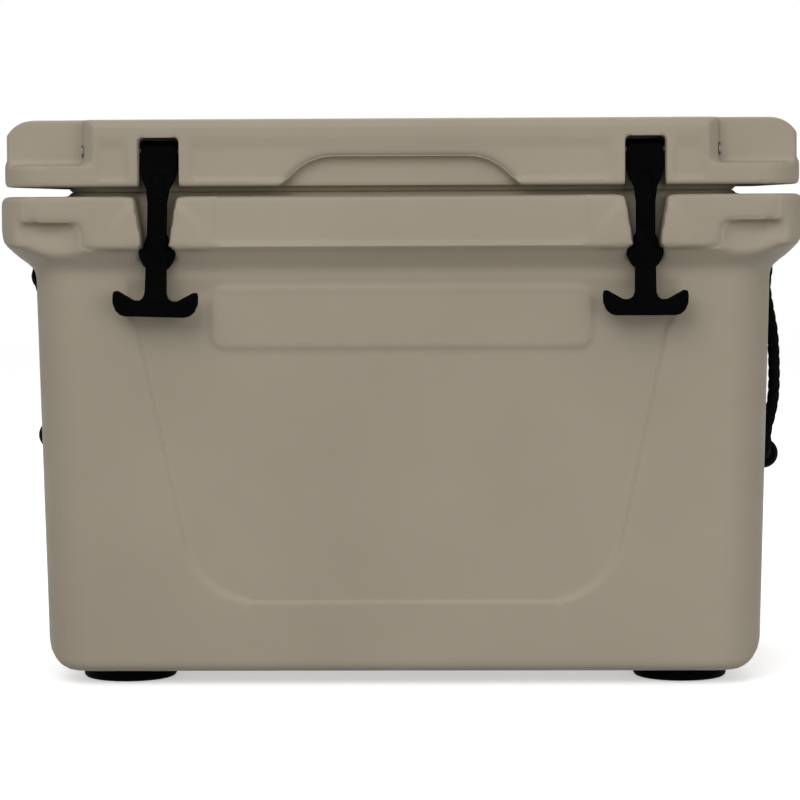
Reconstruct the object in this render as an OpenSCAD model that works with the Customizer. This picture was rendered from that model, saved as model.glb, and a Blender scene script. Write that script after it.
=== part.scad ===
// Rotomoulded hard cooler: double-walled body and lid, rubber T latches,
// rope carry handles, hinge pins, drain fitting and non-slip feet.
// Millimetres. X runs along the length, -Y is the latch side, +Z is up.
// The origin is at floor level under the middle of the cooler.

/* [Body] */
// Length of the top rim, end to end
rim_w = 670; // [660:1:690]
// Depth of the top rim, front to back
rim_d = 396; // [380:1:420]
// Length of the body wall under the rim
wall_top_w = 619; // [600:1:622]
// Depth of the body wall under the rim
wall_top_d = 360; // [350:1:366]
// Length of the body wall at the bottom
wall_base_w = 601; // [580:1:606]
// Depth of the body wall at the bottom
wall_base_d = 342; // [330:1:356]
// Height of the top face of the rim
rim_top = 410; // [406:1:414]
// Height of the rim's front face
rim_h = 43; // [40:1:46]
// Thickness of the moulded skin
skin = 5; // [4:0.5:6]
// Thickness of the insulated wall, skin to skin
wall_t = 50; // [46:1:52]

/* [Lid] */
// Length of the lid
lid_w = 662; // [652:1:664]
// Depth of the lid
lid_d = 392; // [380:1:396]
// Height of the lid from its lower edge to its top
lid_h = 57; // [54:1:60]
// Gap between the rim and the lid's lower edge
lid_gap = 8; // [8:0.5:9]

/* [Latches] */
// Distance from the middle to each latch
latch_x = 202; // [190:1:206]
// Width across the T handle
latch_bar_w = 71; // [68:1:74]
// Radius of the latch pin
latch_pin_r = 3; // [2.5:0.1:3.2]

/* [Handles] */
// Distance between the two rope holes of one handle
rope_pitch = 140; // [130:2:150]
// Radius of the rope
rope_r = 5; // [4:0.5:5]
// Radius of the hand grip
grip_r = 13.2; // [12:0.1:13.4]
// Length of the hand grip
grip_l = 112; // [100:2:116]
// Drop from the left rope holes to the middle of the left grip
left_drop = 147; // [145:1:160]
// Drop from the right rope holes to the middle of the right grip
right_drop = 165; // [160:1:175]

/* [Feet and drain] */
// Radius of a foot
foot_r = 40; // [38:1:43]
// Height of the body's underside above the floor
foot_h = 11; // [9:1:13]
// Distance from the middle to a foot, along the length
foot_x = 236; // [226:1:238]
// Distance from the middle to a foot, front to back
foot_y = 112; // [104:1:114]
// Height of the drain's axis
drain_z = 74; // [73:1:78]

/* [Hidden] */

tan_plastic = "#9c9281";
black_rubber = "#141414";
black_plastic = "#1c1c1e";
steel = "#b9bcc0";
foam_yellow = "#e6d7a0";
seal_grey = "#3a3c3e";

eps = 0.01;
round_fn = 48;
corner_steps = 6;

// depth of the sunken panels
panel_depth = 2;

// heights
base_z = foot_h;
rim_low = rim_top - rim_h;
slope_h = 15;
wall_top = rim_low - slope_h;
body_plinth_h = 3.5;
lid_low = rim_top + lid_gap;
lid_top = lid_low + lid_h;
lid_plinth_h = 3;

// plan outlines
wall_corner_r = 45;
rim_corner_r = 38;
base_round = 28;
plinth_w = 556;
plinth_d = 344;
plinth_r = 30;
cavity_w = wall_top_w - 2 * wall_t;
cavity_d = wall_top_d - 2 * wall_t;
cavity_base_w = wall_base_w - 2 * wall_t - 12;
cavity_base_d = wall_base_d - 2 * wall_t - 8;
cavity_r = 36;
cavity_floor = base_z + wall_t;
cavity_round = 24;

// hinge line
hinge_y = rim_d / 2 - 6;
hinge_z = rim_top + lid_gap / 2;
lug_r = 12;
hinge_pin_r = 3;
hinge_clear = 0.05;
lug_gap = 0.6;
body_lugs = [[118, 143], [191, 216]];
lid_lug = [143 + lug_gap, 191 - lug_gap];

// latches
latch_pin_y = -lid_d / 2 + 14;
latch_pin_z = lid_low + 31;
latch_eye_r = 8;
latch_eye_w = 29.6;
pocket_w = 31;
pocket_top = lid_low + 40.5;
pocket_depth = 27;
strap_t = 8;
strap_w = 16.6;
strap_back = -rim_d / 2 + strap_t;
latch_split_z = rim_top - 6;
stop_r = 15;
bar_low = 311.5;
pin_head_r = 5.1;
pin_head_h = 1.4;

// corner steps of the lid
step_x = 263;
step_y = -lid_d / 2 + 20;
ledge_z = lid_low + 20;

// sunken bay of each end wall, behind the rope handle
bay_x = 293.5;
bay_half_y = 104;
bay_low = 151;
bay_top = wall_top - 4;
bay_r = 22;

// rope handles
rope_x = 314;
rope_exit_z = 350;
rope_start = 6.8;
knot_r = 9;
knot_pocket_r = 13;
knot_pocket_d = 20;
rope_hole_r = 5.6;

// drain, along +X through the right end
drain_hole_r = 13;
drain_bore_r = 9.5;
drain_pocket_r = 30;
drain_pocket_x = 281;
drain_inner_x = cavity_base_w / 2;
plug_body_r = drain_bore_r - 0.1;
sump_r = 20.5;
sump_l = 34;

// ---------- shared shapes ----------

function arc(cx, cy, r, a0, a1, n) =
    [for (i = [0:n]) let (a = a0 + (a1 - a0) * i / n) [cx + r * cos(a), cy + r * sin(a)]];

function rounded_rect(w, d, r, n = corner_steps) = concat(
    arc(w / 2 - r, d / 2 - r, r, 0, 90, n),
    arc(-w / 2 + r, d / 2 - r, r, 90, 180, n),
    arc(-w / 2 + r, -d / 2 + r, r, 180, 270, n),
    arc(w / 2 - r, -d / 2 + r, r, 270, 360, n));

module slab(w, d, r, z0, z1) {
    translate([0, 0, z0])
        linear_extrude(z1 - z0)
            polygon(rounded_rect(w, d, r));
}

// a drafted tub shape with a rounded bottom edge, as one hull of thin slices
module tub(base_w, base_d, top_w, top_d, z0, z1, corner, edge) {
    steps = 4;
    hull() {
        slab(top_w, top_d, corner, z1 - eps, z1);
        for (i = [0:steps]) {
            a = 90 * i / steps;
            inset = edge * (1 - cos(a));
            z = z0 + edge * (1 - sin(a));
            share = (z - z0) / (z1 - z0);
            w = base_w + (top_w - base_w) * share - 2 * inset;
            d = base_d + (top_d - base_d) * share - 2 * inset;
            slab(w, d, corner - inset * 0.7, z, z + eps);
        }
    }
}

module rod_x(r, x0, x1, y, z) {
    translate([x0, y, z])
        rotate([0, 90, 0])
            cylinder(r = r, h = x1 - x0, $fn = round_fn);
}

// a box given by its low and high corners
module block(low, high) {
    translate(low)
        cube(high - low);
}

// an outline in X and Z, cut from y0 to y1
module front_cut(y0, y1) {
    translate([0, y1, 0])
        rotate([90, 0, 0])
            linear_extrude(y1 - y0)
                children();
}

module both_sides() {
    children();
    mirror([1, 0, 0])
        children();
}

// ---------- body ----------

module wall_outside(inset) {
    tub(wall_base_w - 2 * inset, wall_base_d - 2 * inset,
        wall_top_w - 2 * inset, wall_top_d - 2 * inset,
        base_z + inset, wall_top + 8, wall_corner_r - inset, base_round - inset);
}

module cavity(grow) {
    tub(cavity_base_w + 2 * grow, cavity_base_d + 2 * grow,
        cavity_w + 2 * grow, cavity_d + 2 * grow,
        cavity_floor - grow, rim_top + body_plinth_h + 1, cavity_r + grow, cavity_round + grow);
}

module rim_flare() {
    hull() {
        slab(wall_top_w - 1, wall_top_d - 1, wall_corner_r, wall_top, wall_top + eps);
        slab(rim_w - 4, rim_d - 4, rim_corner_r, rim_low, rim_low + eps);
    }
}

module rim_ring() {
    edge = 4;
    hull() {
        slab(rim_w - 4, rim_d - 4, rim_corner_r, rim_low, rim_low + eps);
        slab(rim_w, rim_d, rim_corner_r, rim_low + edge, rim_low + edge + eps);
        slab(rim_w, rim_d, rim_corner_r, rim_top - edge, rim_top - edge + eps);
        slab(rim_w - 5, rim_d - 5, rim_corner_r, rim_top - eps, rim_top);
    }
}

module foot_bosses() {
    for (x = [-foot_x, foot_x], y = [-foot_y, foot_y])
        translate([x, y, base_z + 1])
            cylinder(r = foot_r + 4, h = 24, $fn = round_fn);
}

module drain_boss() {
    rod_x(drain_pocket_r + 5, drain_inner_x - sump_l - 5, drain_pocket_x + 24, 0, drain_z);
}

module rope_bosses() {
    for (x = [-rope_x, rope_x], y = [-rope_pitch / 2, rope_pitch / 2])
        translate([x, y, rim_low])
            cylinder(r = knot_pocket_r + skin, h = rim_h, $fn = round_fn);
}

module end_bay(grow) {
    translate([bay_x - grow, 0, (bay_low + bay_top) / 2])
        rotate([90, 0, 90])
            linear_extrude(60)
                polygon(rounded_rect(2 * (bay_half_y + grow), bay_top - bay_low + 2 * grow, bay_r + grow));
}

module body_void() {
    difference() {
        union() {
            wall_outside(skin);
            slab(592, 346, 34, wall_top - 5, rim_top - skin);
            slab(rim_w - 14, 300, 20, rim_low + skin, rim_top - skin);
        }
        cavity(skin);
        foot_bosses();
        drain_boss();
        rope_bosses();
        both_sides() end_bay(skin);
    }
}

function arch(half_low, half_top, z0, z1, r) = concat(
    [[-half_low, z0], [half_low, z0]],
    arc(half_top - r + 12, z1 - r, r, 38, 90, 6),
    arc(-half_top + r - 12, z1 - r, r, 90, 142, 6));

// the broad sunken panel of the front wall, with its rounded lower corners
function panel_outline() = concat(
    arc(-132, 110, 52, 192, 270, 8),
    arc(132, 110, 52, 270, 348, 8),
    [[230, 340], [-230, 340]]);

// places its children, drawn in X and Z, on the leaning front wall
module on_front_wall(depth, proud) {
    lean = atan((wall_top_d - wall_base_d) / 2 / (wall_top + 8 - base_z));
    translate([0, -wall_base_d / 2, base_z])
        rotate([lean, 0, 0])
            front_cut(-proud, depth)
                children();
}

module front_panel_cut() {
    on_front_wall(panel_depth, 6)
        polygon(panel_outline());
}

module latch_notch() {
    front_cut(-rim_d / 2 - 5, -rim_d / 2 + 17)
        polygon([[-17, rim_top + 1], [17, rim_top + 1], [11, rim_low - 1], [-11, rim_low - 1]]);
    block([-17.5, -rim_d / 2 - 5, wall_top - 4], [17.5, -wall_top_d / 2 + 2, rim_low]);
}

module corner_scoop() {
    intersection() {
        translate([294, -rim_d / 2 - 8, 385])
            sphere(r = 28, $fn = round_fn);
        block([262, -rim_d / 2 - 40, 352], [326, 0, 385]);
    }
}

// the plain raised badge in the upper half of the sunken panel
module front_badge() {
    on_front_wall(skin, 0)
        translate([0, 299])
            polygon(rounded_rect(318, 52, 14));
}

// the half-round pads that frame the latch notches
module latch_pad() {
    intersection() {
        translate([0, -rim_d / 2 - 1.5, rim_low])
            rotate([-90, 0, 0])
                cylinder(r = 40, h = 24, $fn = round_fn);
        block([-60, -rim_d / 2 - 10, wall_top], [60, 0, rim_top - 6]);
    }
}

module rim_centre_panel() {
    front_cut(-rim_d / 2 - 5, -rim_d / 2 + panel_depth)
        polygon([[-154, rim_low - 1], [154, rim_low - 1], [158, rim_top - 6], [-158, rim_top - 6]]);
}

// lets the lid's back edge turn past the rim
module rim_back_bevel() {
    translate([-rim_w / 2 - 5, 0, 0])
        rotate([90, 0, 90])
            linear_extrude(rim_w + 10)
                polygon([[hinge_y - 3, rim_top + 1], [hinge_y - 3, hinge_z - 4],
                         [rim_d / 2 + 1, hinge_z - 12], [rim_d / 2 + 1, rim_top + 1]]);
}

module body_lug_pair() {
    for (span = body_lugs) {
        rod_x(lug_r, span[0], span[1], hinge_y, hinge_z);
        block([span[0], hinge_y - lug_r, rim_low + 12], [span[1], hinge_y + lug_r, hinge_z]);
    }
}

module lid_lug_clearance() {
    block([lid_lug[0] - lug_gap, hinge_y - lug_r - 1, hinge_z - lug_r - 1],
          [lid_lug[1] + lug_gap, hinge_y + 30, rim_top + 20]);
}

module rope_holes() {
    for (y = [-rope_pitch / 2, rope_pitch / 2]) {
        translate([rope_x, y, wall_top - 12])
            cylinder(r = rope_hole_r, h = rim_top, $fn = round_fn);
        translate([rope_x, y, rim_top - knot_pocket_d])
            cylinder(r = knot_pocket_r, h = 60, $fn = round_fn);
    }
}

module foot_recesses() {
    for (x = [-foot_x, foot_x], y = [-foot_y, foot_y])
        translate([x, y, -1])
            cylinder(r = foot_r + 0.3, h = base_z + 5, $fn = round_fn);
}

module foot_screw_spots() {
    for (x = [-foot_x, foot_x], y = [-foot_y, foot_y], side = [-22, 22])
        translate([x + side, y, 0])
            children();
}

module body_shell() color(tan_plastic) {
    difference() {
        union() {
            difference() {
                union() {
                    wall_outside(0);
                    rim_flare();
                    rim_ring();
                    slab(plinth_w, plinth_d, plinth_r, rim_top - 1, rim_top + body_plinth_h);
                }
                body_void();
                front_panel_cut();
                rim_centre_panel();
                rim_back_bevel();
            }
            front_badge();
            both_sides() {
                translate([latch_x, 0, 0]) latch_pad();
                body_lug_pair();
            }
        }
        cavity(0);
        both_sides() {
            translate([latch_x, 0, 0]) latch_notch();
            corner_scoop();
            end_bay(0);
            lid_lug_clearance();
            rope_holes();
            rod_x(hinge_pin_r + hinge_clear, body_lugs[0][0] - 6, body_lugs[1][1] + 6, hinge_y, hinge_z);
        }
        foot_recesses();
        foot_screw_spots() cylinder(r = 2.5, h = base_z + 21, $fn = 24);
        for (x = [-90, 90])
            translate([x, 0, -1])
                cylinder(r = 13, h = base_z + 3 + skin, $fn = round_fn);
        rod_x(drain_hole_r + 0.1, drain_inner_x - 20, drain_pocket_x + 20, 0, drain_z);
        rod_x(drain_pocket_r, drain_pocket_x, drain_pocket_x + 60, 0, drain_z);
        rod_x(sump_r, drain_inner_x - sump_l, drain_inner_x, 0, drain_z);
    }
}

module body_foam() color(foam_yellow) {
    body_void();
}

module body_fill_plugs() color(black_plastic) {
    for (x = [-90, 90])
        translate([x, 0, base_z])
            cylinder(r = 12.95, h = skin, $fn = round_fn);
}

// ---------- feet ----------

module foot(x, y) color(black_rubber) {
    difference() {
        translate([x, y, 0])
            rotate_extrude($fn = round_fn)
                polygon([[0, 0], [foot_r - 4, 0], [foot_r - 1.2, 1.4], [foot_r, 4.5],
                         [foot_r, base_z + 4], [0, base_z + 4]]);
        for (side = [-22, 22]) {
            translate([x + side, y, -1])
                cylinder(r = 2.6, h = 40, $fn = 24);
            translate([x + side, y, -1])
                cylinder(r = 5.6, h = 6, $fn = 24);
        }
    }
}

module foot_screws() color(steel) {
    foot_screw_spots() {
        translate([0, 0, 2])
            cylinder(r = 5.2, h = 3, $fn = 24);
        translate([0, 0, 4])
            cylinder(r = 2.4, h = base_z + 14, $fn = 24);
    }
}

// ---------- drain ----------

module drain_bushing() color(black_plastic) {
    difference() {
        union() {
            rod_x(drain_hole_r, drain_inner_x - 9, drain_pocket_x + 2, 0, drain_z);
            rod_x(22, drain_pocket_x + 2, drain_pocket_x + 6, 0, drain_z);
        }
        rod_x(drain_bore_r, drain_inner_x - 10, drain_pocket_x + 10, 0, drain_z);
    }
}

module drain_flange_seal() color(seal_grey) {
    difference() {
        rod_x(20, drain_pocket_x, drain_pocket_x + 2, 0, drain_z);
        rod_x(drain_hole_r + 0.05, drain_pocket_x - 1, drain_pocket_x + 3, 0, drain_z);
    }
}

module drain_locknut() color(black_plastic) {
    difference() {
        translate([drain_inner_x - 8, 0, drain_z])
            rotate([0, 90, 0])
                rotate(30)
                    cylinder(r = 19, h = 6, $fn = 6);
        rod_x(drain_hole_r + 0.05, drain_inner_x - 10, drain_inner_x, 0, drain_z);
    }
}

module drain_plug() color(black_plastic) {
    face = drain_pocket_x + 7.5;
    rod_x(plug_body_r, drain_pocket_x - 16, face, 0, drain_z);
    rod_x(18, face, face + 4, 0, drain_z);
    block([face + 4, -3.5, drain_z - 15], [face + 10, 3.5, drain_z + 15]);
}

module drain_plug_oring() color(black_rubber) {
    difference() {
        rod_x(14.5, drain_pocket_x + 6, drain_pocket_x + 7.5, 0, drain_z);
        rod_x(plug_body_r + 0.1, drain_pocket_x, drain_pocket_x + 10, 0, drain_z);
    }
}

// ---------- rope handles ----------

function grip_z(drop) = rope_exit_z - drop;

// half of the rope, from its hole down to the middle of the grip, as [x, y, z];
// bow is how far it stands out at five heights on its way down
function rope_half(drop, bow, hang_x) = let (g = grip_z(drop)) concat([
    [rope_x, 70, rope_exit_z - rope_start],
    [rope_x + bow[0], 70, rope_exit_z - 18],
    [rope_x + bow[1], 70, rope_exit_z - 36],
    [rope_x + bow[2], 70, rope_exit_z - 62],
    [rope_x + bow[3], 70, g + 58],
    [rope_x + bow[4], 70, g + 38],
    [hang_x, 70, g + 20]],
    [for (a = [15:15:90]) [hang_x, 54 + 16 * cos(a), g + 16 - 16 * sin(a)]],
    [[hang_x, 40, g], [hang_x, 20, g]]);

function whole_rope(half) = concat(half, [for (i = [len(half) - 1:-1:0]) [half[i][0], -half[i][1], half[i][2]]]);

function unit(v) = v / norm(v);

// rings of points along a route, then one closed skin over them
function route_tangent(route, i) =
    unit(route[min(i + 1, len(route) - 1)] - route[max(i - 1, 0)]);

// a side direction for each ring, carried along the route so that it never twists
function carried(route, i, side) = let (t = route_tangent(route, i)) unit(side - t * (side * t));
function sides_along(route) =
    [for (i = 0, s = carried(route, 0, [1, 0, 0]); i < len(route);
          i = i + 1, s = i < len(route) ? carried(route, i, s) : s) s];

module swept_tube(route, r, sides = 10) {
    n = len(route);
    side = sides_along(route);
    points = [for (i = [0:n - 1]) let (t = route_tangent(route, i), u = side[i], v = cross(t, u))
              for (k = [0:sides - 1]) let (a = 360 * k / sides) route[i] + r * (cos(a) * u + sin(a) * v)];
    faces = concat(
        [[for (k = [0:sides - 1]) k]],
        [for (i = [0:n - 2], k = [0:sides - 1])
            [i * sides + k, (i + 1) * sides + k, (i + 1) * sides + (k + 1) % sides, i * sides + (k + 1) % sides]],
        [[for (k = [sides - 1:-1:0]) (n - 1) * sides + k]]);
    polyhedron(points, faces, convexity = 6);
}

left_bow = [2, -1, -4, -6, -6];
left_hang_x = 308;
right_bow = [-2, -1, 2, 2, 0];
right_hang_x = 311;

module handle_rope(drop, bow, hang_x) color(black_plastic) {
    swept_tube(whole_rope(rope_half(drop, bow, hang_x)), rope_r);
}

module handle_grip(drop, hang_x) color(black_rubber) {
    translate([hang_x, 0, grip_z(drop)])
        rotate([90, 0, 0])
            difference() {
                union() {
                    cylinder(r = grip_r, h = grip_l - 10, center = true, $fn = round_fn);
                    for (m = [0, 1])
                        mirror([0, 0, m])
                            translate([0, 0, grip_l / 2 - 5])
                                cylinder(r1 = grip_r, r2 = grip_r - 3, h = 5, $fn = round_fn);
                }
                cylinder(r = rope_r + 0.4, h = grip_l + 2, center = true, $fn = round_fn);
            }
}

// the knots in their pockets, with the rope's straight run through the rim
module rope_knots() color(black_plastic) {
    for (y = [-rope_pitch / 2, rope_pitch / 2]) {
        translate([rope_x, y, rim_top - knot_pocket_d + knot_r + 0.1])
            sphere(r = knot_r, $fn = round_fn);
        translate([rope_x, y, rope_exit_z])
            sphere(r = rope_r, $fn = round_fn);
        translate([rope_x, y, rope_exit_z])
            cylinder(r = rope_r, h = rim_top - knot_pocket_d - rope_exit_z + 2, $fn = round_fn);
    }
}

// ---------- lid ----------

module lid_block() {
    upper_w = lid_w - 5;
    edge = 11;
    hull() {
        slab(lid_w - 6, lid_d - 6, rim_corner_r - 3, lid_low, lid_low + eps);
        slab(lid_w, lid_d, rim_corner_r, lid_low + 4, lid_low + 4 + eps);
        slab(lid_w, lid_d, rim_corner_r, ledge_z - 2, ledge_z - 2 + eps);
        slab(upper_w, lid_d, rim_corner_r, ledge_z, ledge_z + eps);
        for (a = [0:22.5:90])
            slab(upper_w - 2 * edge * (1 - cos(a)), lid_d - 2 * edge * (1 - cos(a)),
                 rim_corner_r - edge * (1 - cos(a)) * 0.7,
                 lid_top - edge * (1 - sin(a)) - eps, lid_top - edge * (1 - sin(a)));
    }
}

module lid_void() {
    union() {
        difference() {
            slab(lid_w - 20, 320, 26, lid_low + 7, lid_top - 7.5);
            for (m = [0, 1])
                mirror([m, 0, 0])
                    block([step_x - 60, -lid_d / 2, lid_low], [lid_w / 2, step_y + 20, lid_top]);
        }
        slab(484, 236, 28, rim_top + 2, lid_low + 12);
    }
}

module latch_pocket() {
    block([-pocket_w / 2, -lid_d / 2 - 5, lid_low - 10],
          [pocket_w / 2, -lid_d / 2 + pocket_depth, pocket_top]);
}

module corner_step() {
    translate([0, 0, ledge_z])
        linear_extrude(lid_h)
            polygon([[step_x, step_y], [step_x, step_y - 11], [step_x - 10, -lid_d / 2 - 0.1],
                     [step_x - 10, -lid_d], [lid_w, -lid_d], [lid_w, step_y]]);
}

module finger_scoop() {
    front_cut(-lid_d / 2 - 5, -lid_d / 2 + 13)
        polygon(arch(101, 88, lid_low - 5, lid_low + 23.6, 29));
}

module lid_face_panels() {
    depth = 1.5;
    front_cut(-lid_d / 2 - 5, -lid_d / 2 + depth)
        difference() {
            translate([-172, lid_low + 7])
                square([344, 38]);
            polygon(arch(110, 96, lid_low - 5, lid_low + 30, 34));
        }
    for (m = [0, 1])
        mirror([m, 0, 0])
            front_cut(-lid_d / 2 - 5, -lid_d / 2 + depth)
                translate([224, lid_low + 6])
                    square([26, 39]);
}

module gasket_ring(grow, z0, z1) {
    difference() {
        slab(540 + grow, 322 + grow, 26, z0, z1);
        slab(520 - grow, 302 - grow, 20, z0 - 1, z1 + 1);
    }
}

module lid_plug_pan() {
    slab(plinth_w, plinth_d, plinth_r, lid_low - lid_plinth_h, lid_low + 1);
    hull() {
        slab(494, 246, 32, lid_low - 1, lid_low);
        slab(486, 238, 28, rim_top - 3, rim_top - 3 + eps);
    }
}

module lid_lug_pair() {
    rod_x(lug_r, lid_lug[0], lid_lug[1], hinge_y, hinge_z);
    block([lid_lug[0], hinge_y - lug_r, hinge_z], [lid_lug[1], hinge_y + 4, lid_low + 12]);
}

module body_lug_clearance() {
    for (span = body_lugs)
        block([span[0] - lug_gap, hinge_y - lug_r - 1, hinge_z - lug_r],
              [span[1] + lug_gap, hinge_y + 30, hinge_z + lug_r + 1]);
}

module lid_top_panel() {
    slab(540, 268, 34, lid_top - 2, lid_top + 5);
}

module lid_shell() color(tan_plastic) {
    difference() {
        union() {
            difference() {
                union() {
                    lid_block();
                    lid_plug_pan();
                }
                lid_void();
                both_sides() body_lug_clearance();
            }
            both_sides() lid_lug_pair();
        }
        gasket_ring(0.4, lid_low - lid_plinth_h - 1, lid_low + 2.2);
        lid_top_panel();
        finger_scoop();
        lid_face_panels();
        both_sides() {
            corner_step();
            translate([latch_x, 0, 0]) latch_pocket();
            rod_x(latch_pin_r + 0.05, latch_x - 30, step_x + 5, latch_pin_y, latch_pin_z);
            rod_x(hinge_pin_r + hinge_clear, body_lugs[0][0] - 6, body_lugs[1][1] + 6, hinge_y, hinge_z);
        }
        for (x = [-90, 90])
            translate([x, 0, rim_top - 4])
                cylinder(r = 13, h = 6.5, $fn = round_fn);
    }
}

module lid_foam() color(foam_yellow) {
    lid_void();
}

module lid_fill_plugs() color(black_plastic) {
    for (x = [-90, 90])
        translate([x, 0, rim_top - 3])
            cylinder(r = 12.95, h = 5, $fn = round_fn);
}

module lid_gasket() color(seal_grey) {
    gasket_ring(0, rim_top + body_plinth_h + 0.3, lid_low + 2);
}

// ---------- latches ----------

// front outline of the strap from its eye down to the T bar, about the latch's own middle
function strap_outline() = [
    [latch_eye_w / 2, latch_pin_z], [latch_eye_w / 2, latch_pin_z - 12], [10.5, lid_low + 5],
    [strap_w / 2 + 0.6, lid_low - 4], [strap_w / 2, 377], [strap_w / 2, bar_low + 24],
    [9.6, bar_low + 18], [12.5, bar_low + 14.5], [17, bar_low + 12.7], [23, bar_low + 14],
    [32, bar_low + 20.7], [34.6, bar_low + 20.3], [latch_bar_w / 2, bar_low + 18],
    [latch_bar_w / 2, bar_low + 9], [33, bar_low + 4], [29.5, bar_low + 1], [25, bar_low]];

function mirrored(points) = concat(points, [for (i = [len(points) - 1:-1:0]) [-points[i][0], points[i][1]]]);

// side outline in Y and Z: the strap leans out from its eye, then hangs down the rim
module latch_side() {
    front = -rim_d / 2 - 0.5;
    polygon([
        [latch_pin_y + 4, latch_pin_z + 4], [latch_pin_y - 5, latch_pin_z + 5],
        [latch_pin_y - latch_eye_r, latch_pin_z], [latch_pin_y - 8.5, latch_pin_z - 14],
        [front, lid_low - 6], [front, 350], [front - 2, bar_low + 25], [-204, bar_low + 15], [-204, bar_low],
        [-191, bar_low], [-189, bar_low + 16], [strap_back, bar_low + 28], [strap_back, rim_top],
        [latch_pin_y + 5, latch_pin_z - 5]]);
}

module latch_strap() {
    intersection() {
        front_cut(-230, -150)
            polygon(mirrored(strap_outline()));
        translate([-60, 0, 0])
            rotate([90, 0, 90])
                linear_extrude(120)
                    latch_side();
    }
}

// the flat-topped half ball that catches under the rim
module latch_stop() {
    intersection() {
        translate([0, -190, rim_low - 0.4])
            sphere(r = stop_r, $fn = round_fn);
        block([-20, -199.5, rim_low - 20], [20, -181.5, rim_low - 0.4]);
    }
}

module latch_eye(side) color(black_rubber) {
    translate([side * latch_x, 0, 0])
        difference() {
            union() {
                rod_x(latch_eye_r, -latch_eye_w / 2, latch_eye_w / 2, latch_pin_y, latch_pin_z);
                intersection() {
                    latch_strap();
                    block([-30, -230, latch_split_z], [30, -150, lid_top]);
                }
            }
            rod_x(latch_pin_r + 0.05, -40, 40, latch_pin_y, latch_pin_z);
        }
}

module latch_grip(side) color(black_rubber) {
    translate([side * latch_x, 0, 0])
        union() {
            intersection() {
                latch_strap();
                block([-50, -230, 290], [50, -150, latch_split_z - 0.05]);
            }
            latch_stop();
        }
}

module latch_pin(side) color(steel) {
    mirror([side < 0 ? 1 : 0, 0, 0]) {
        rod_x(latch_pin_r, latch_x - 29, step_x, latch_pin_y, latch_pin_z);
        rod_x(pin_head_r, step_x, step_x + pin_head_h, latch_pin_y, latch_pin_z);
    }
}

// ---------- hinge ----------

module hinge_pin(side) color(steel) {
    mirror([side < 0 ? 1 : 0, 0, 0]) {
        rod_x(hinge_pin_r, body_lugs[0][0] - 3, body_lugs[1][1], hinge_y, hinge_z);
        rod_x(3.7, body_lugs[1][1], body_lugs[1][1] + 3, hinge_y, hinge_z);
    }
}

module hinge_pin_clips() color(steel) {
    both_sides()
        difference() {
            rod_x(3.7, body_lugs[0][0] - 2.4, body_lugs[0][0] - 1, hinge_y, hinge_z);
            rod_x(hinge_pin_r + 0.02, body_lugs[0][0] - 4, body_lugs[0][0], hinge_y, hinge_z);
        }
}

// ---------- nodes ----------

module on_left() {
    mirror([1, 0, 0])
        children();
}

body_shell();
body_foam();
body_fill_plugs();
foot(-foot_x, -foot_y);  // foot_front_left
foot(foot_x, -foot_y);  // foot_front_right
foot(-foot_x, foot_y);  // foot_back_left
foot(foot_x, foot_y);  // foot_back_right
foot_screws();
drain_bushing();
drain_flange_seal();
drain_locknut();
drain_plug();
drain_plug_oring();
on_left() handle_rope(left_drop, left_bow, left_hang_x);  // left_handle_rope
on_left() handle_grip(left_drop, left_hang_x);  // left_handle_grip
on_left() rope_knots();  // left_rope_knots
handle_rope(right_drop, right_bow, right_hang_x);  // right_handle_rope
handle_grip(right_drop, right_hang_x);  // right_handle_grip
rope_knots();  // right_rope_knots
lid_shell();
lid_foam();
lid_fill_plugs();
lid_gasket();
latch_eye(-1);  // left_latch_eye
latch_grip(-1);  // left_latch_grip
latch_pin(-1);  // left_latch_pin
latch_eye(1);  // right_latch_eye
latch_grip(1);  // right_latch_grip
latch_pin(1);  // right_latch_pin
hinge_pin(-1);  // left_hinge_pin
hinge_pin(1);  // right_hinge_pin
hinge_pin_clips();
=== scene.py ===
import math

import bmesh
import bpy
from mathutils import Matrix, Vector


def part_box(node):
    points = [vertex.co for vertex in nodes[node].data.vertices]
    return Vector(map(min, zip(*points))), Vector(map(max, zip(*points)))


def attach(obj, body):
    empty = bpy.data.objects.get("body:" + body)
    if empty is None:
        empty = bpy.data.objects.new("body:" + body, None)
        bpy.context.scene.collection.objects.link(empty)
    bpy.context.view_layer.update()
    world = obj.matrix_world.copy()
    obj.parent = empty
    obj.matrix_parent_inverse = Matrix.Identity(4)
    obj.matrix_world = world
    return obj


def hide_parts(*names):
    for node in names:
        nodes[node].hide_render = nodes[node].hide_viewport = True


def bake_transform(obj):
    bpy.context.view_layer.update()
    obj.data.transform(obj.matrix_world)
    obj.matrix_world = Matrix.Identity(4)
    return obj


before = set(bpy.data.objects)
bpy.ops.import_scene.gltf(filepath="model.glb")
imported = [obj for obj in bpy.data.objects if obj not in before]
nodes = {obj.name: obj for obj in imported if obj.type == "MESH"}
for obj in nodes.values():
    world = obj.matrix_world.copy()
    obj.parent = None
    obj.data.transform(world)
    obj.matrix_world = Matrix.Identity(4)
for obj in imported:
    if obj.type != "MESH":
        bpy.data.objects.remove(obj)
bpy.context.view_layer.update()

# A rotomoulded hard cooler: two soft-edged shells, rubber T latches, rope
# handles with rubber grips, round rubber feet. Metres, +Z up, -Y latch side.

print("frame loaded:", len(nodes), "cad nodes")


# camera, floor and light

cameraSetup = {
    "place": (0.055, -2.70, 0.405),
    "lookAt": (-0.0009, -0.20, 0.2425),
    "lens": 136.4,
    "sensor": 36.0,
    "tilt": 0.27,
}


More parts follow.
